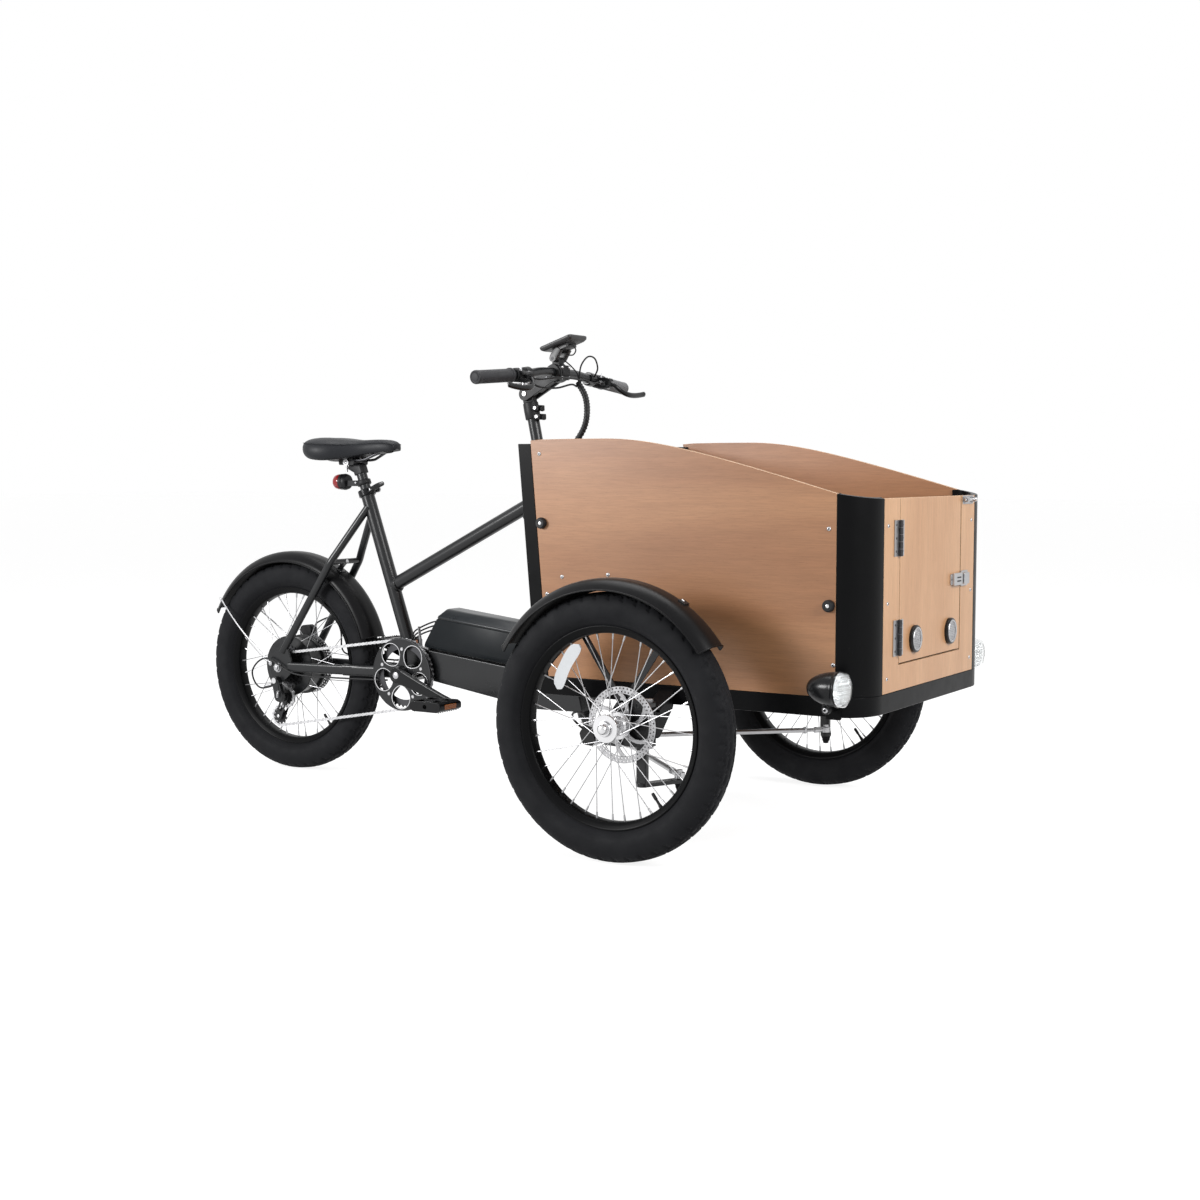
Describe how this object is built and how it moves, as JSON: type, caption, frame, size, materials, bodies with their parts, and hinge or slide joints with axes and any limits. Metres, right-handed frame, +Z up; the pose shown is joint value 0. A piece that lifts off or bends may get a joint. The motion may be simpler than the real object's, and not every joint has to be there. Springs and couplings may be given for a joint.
{
  "type": "cargo tricycle",
  "caption": "Front-loading electric cargo tricycle: an open wooden box with a front door between steered wheels, and a saddle, beam battery and hub-motor wheel behind it.",
  "frame": {"origin": "on the ground, under the middle of the overall length and width", "axes": "+X forwards, +Y to the rider's left, +Z up"},
  "size_m": [2.0905, 1.114, 1.1227],
  "materials": {
    "black_paint": "satin black powder coat",
    "black_plastic": "fine-grained black plastic",
    "tyre_rubber": "matte black",
    "grip_rubber": "matte, ribbed",
    "beech": "clear-lacquered plywood, grain along the bike",
    "oak": "clear-lacquered plywood, upright grain",
    "polished_metal": "polished",
    "brushed_steel": "brushed",
    "dark_steel": "dark, satin",
    "battery_case": "dark grey, satin",
    "vinyl": "black, slightly grained"
  },
  "bodies": {
    "frame": {"main_frame": "black_paint", "rear_axle": "brushed_steel", "battery_dock": "brushed_steel", "box_base_frame": "black_paint", "box_floor": "beech", "rear_panel": "beech", "front_panel": "oak", "side_panel_left": "beech", "side_panel_right": "beech", "front_corner_left": "black_paint", "front_corner_right": "black_paint", "rear_post_left": "black_paint", "rear_post_right": "black_paint", "door_hinge_upper": "dark_steel", "door_hinge_lower": "dark_steel", "seat_clamp": "black_paint", "chain": "brushed_steel", "rear_derailleur": "black_paint", "rear_fender": "black_paint"},
    "door": {"front_door": "oak"},
    "door_latch": {"door_latch": "dark_steel"},
    "door_bolt": {"door_bolt": "brushed_steel"},
    "battery": {"battery": "battery_case"},
    "saddle": {"seat_post": "black_paint", "saddle_base": "black_plastic", "saddle_cover": "vinyl", "tail_light": "black_plastic"},
    "clamp_lever": {"seat_clamp_lever": "black_paint"},
    "crank": {"crankset": "black_paint", "chainring": "polished_metal"},
    "pedal_left": {"pedal_left": "black_plastic"},
    "pedal_right": {"pedal_right": "black_plastic"},
    "cassette": {"cassette": "brushed_steel"},
    "rear_wheel": {"rear_tyre": "tyre_rubber", "rear_rim": "black_paint", "rear_hub_motor": "black_paint"},
    "steering": {"steering_column": "black_paint"},
    "bars": {"stem": "black_paint", "handlebar": "black_paint", "grip_left": "grip_rubber", "grip_right": "grip_rubber", "cable_bundle": "black_plastic"},
    "display": {"display": "black_plastic"},
    "shift_lever": {"shift_lever": "dark_steel"},
    "knuckle_left": {"knuckle_left": "black_paint", "fender_left": "black_paint"},
    "front_wheel_left": {"front_tyre_left": "tyre_rubber", "front_rim_left": "black_paint", "front_hub_left": "polished_metal"},
    "tie_rod_left": {"tie_rod_left": "dark_steel"},
    "headlight_left": {"headlight_left": "black_plastic"},
    "brake_lever_left": {"brake_lever_left": "dark_steel"},
    "knuckle_right": {"knuckle_right": "black_paint", "fender_right": "black_paint"},
    "front_wheel_right": {"front_tyre_right": "tyre_rubber", "front_rim_right": "black_paint", "front_hub_right": "polished_metal"},
    "tie_rod_right": {"tie_rod_right": "dark_steel"},
    "headlight_right": {"headlight_right": "black_plastic"},
    "brake_lever_right": {"brake_lever_right": "dark_steel"}
  },
  "joints": [
    {"name": "steer", "type": "hinge", "parent": "frame", "child": "steering", "pos_m": [0.03085, 0, 0.8], "axis": [-0.2079, 0, 0.9781], "range_deg": [-25, 25]},
    {"name": "bar_tilt", "type": "hinge", "parent": "steering", "child": "bars", "pos_m": [-0.00848, 0, 0.985], "axis": [0, -1, 0], "range_deg": [-5, 20]},
    {"name": "display_tilt", "type": "hinge", "parent": "bars", "child": "display", "pos_m": [0.0761, 0, 1.068], "axis": [0, 1, 0], "range_deg": [-20, 20]},
    {"name": "shift_press", "type": "hinge", "parent": "bars", "child": "shift_lever", "pos_m": [0.07385, -0.14, 1.00205], "axis": [0, 0, 1], "range_deg": [0, 20], "stiffness_Nm_per_rad": 0.3, "springref_deg": -5.73},
    {"name": "door_swing", "type": "hinge", "parent": "frame", "child": "door", "pos_m": [1.0314, -0.187, 0.35], "axis": [0, 0, -1], "range_deg": [0, 110]},
    {"name": "latch_turn", "type": "hinge", "parent": "door", "child": "door_latch", "pos_m": [1.0256, 0.14, 0.5625], "axis": [1, 0, 0], "range_deg": [0, 90]},
    {"name": "bolt_slide", "type": "slide", "parent": "frame", "child": "door_bolt", "axis": [0, -1, 0], "range_m": [0, 0.018]},
    {"name": "battery_slide", "type": "slide", "parent": "frame", "child": "battery", "axis": [0.9936, 0, -0.1132], "range_m": [0, 0.03]},
    {"name": "saddle_height", "type": "slide", "parent": "frame", "child": "saddle", "axis": [-0.3305, 0, 0.9438], "range_m": [-0.008, 0.12]},
    {"name": "clamp_lever_swing", "type": "hinge", "parent": "frame", "child": "clamp_lever", "pos_m": [-0.49033, -0.0195, 0.75107], "axis": [0.3305, 0, -0.9438], "range_deg": [0, 150]},
    {"name": "crank_spin", "type": "hinge", "parent": "frame", "child": "crank", "pos_m": [-0.3559, 0, 0.284], "axis": [0, 1, 0], "continuous": true},
    {"name": "pedal_spin_left", "type": "hinge", "parent": "crank", "child": "pedal_left", "pos_m": [-0.51565, 0.12, 0.34214], "axis": [0, 1, 0], "continuous": true},
    {"name": "pedal_spin_right", "type": "hinge", "parent": "crank", "child": "pedal_right", "pos_m": [-0.19615, -0.12, 0.22586], "axis": [0, 1, 0], "continuous": true},
    {"name": "cassette_spin", "type": "hinge", "parent": "frame", "child": "cassette", "pos_m": [-0.7649, 0, 0.278], "axis": [0, 1, 0], "continuous": true},
    {"name": "rear_wheel_spin", "type": "hinge", "parent": "frame", "child": "rear_wheel", "pos_m": [-0.7649, 0, 0.278], "axis": [0, 1, 0], "continuous": true},
    {"name": "knuckle_turn_left", "type": "hinge", "parent": "frame", "child": "knuckle_left", "pos_m": [0.5791, 0.43, 0.278], "axis": [0, 0, 1], "range_deg": [-16, 16]},
    {"name": "front_wheel_spin_left", "type": "hinge", "parent": "knuckle_left", "child": "front_wheel_left", "pos_m": [0.5391, 0.511, 0.278], "axis": [0, 1, 0], "continuous": true},
    {"name": "tie_rod_turn_left", "type": "hinge", "parent": "knuckle_left", "child": "tie_rod_left", "pos_m": [0.6191, 0.37, 0.158], "axis": [0, 0, 1], "range_deg": [-21, 21]},
    {"name": "headlight_tilt_left", "type": "hinge", "parent": "frame", "child": "headlight_left", "pos_m": [0.9591, 0.387, 0.33], "axis": [0, 1, 0], "range_deg": [-15, 15]},
    {"name": "brake_squeeze_left", "type": "hinge", "parent": "bars", "child": "brake_lever_left", "pos_m": [0.11011, 0.176, 1.01518], "axis": [0, 0, 1], "range_deg": [0, 14], "stiffness_Nm_per_rad": 1, "springref_deg": -5.73},
    {"name": "knuckle_turn_right", "type": "hinge", "parent": "frame", "child": "knuckle_right", "pos_m": [0.5791, -0.43, 0.278], "axis": [0, 0, 1], "range_deg": [-16, 16]},
    {"name": "front_wheel_spin_right", "type": "hinge", "parent": "knuckle_right", "child": "front_wheel_right", "pos_m": [0.5391, -0.511, 0.278], "axis": [0, 1, 0], "continuous": true},
    {"name": "tie_rod_turn_right", "type": "hinge", "parent": "knuckle_right", "child": "tie_rod_right", "pos_m": [0.6191, -0.37, 0.158], "axis": [0, 0, 1], "range_deg": [-21, 21]},
    {"name": "headlight_tilt_right", "type": "hinge", "parent": "frame", "child": "headlight_right", "pos_m": [0.9591, -0.387, 0.33], "axis": [0, 1, 0], "range_deg": [-15, 15]},
    {"name": "brake_squeeze_right", "type": "hinge", "parent": "bars", "child": "brake_lever_right", "pos_m": [0.11011, -0.176, 1.01518], "axis": [0, 0, -1], "range_deg": [0, 14], "stiffness_Nm_per_rad": 1, "springref_deg": -5.73}
  ],
  "couplings": [
    {"joint": "cassette_spin", "follows": "crank_spin", "ratio": 2.625},
    {"joint": "knuckle_turn_left", "follows": "steer", "ratio": 0.62},
    {"joint": "tie_rod_turn_left", "follows": "steer", "ratio": -0.81},
    {"joint": "knuckle_turn_right", "follows": "steer", "ratio": 0.62},
    {"joint": "tie_rod_turn_right", "follows": "steer", "ratio": -0.81}
  ]
}
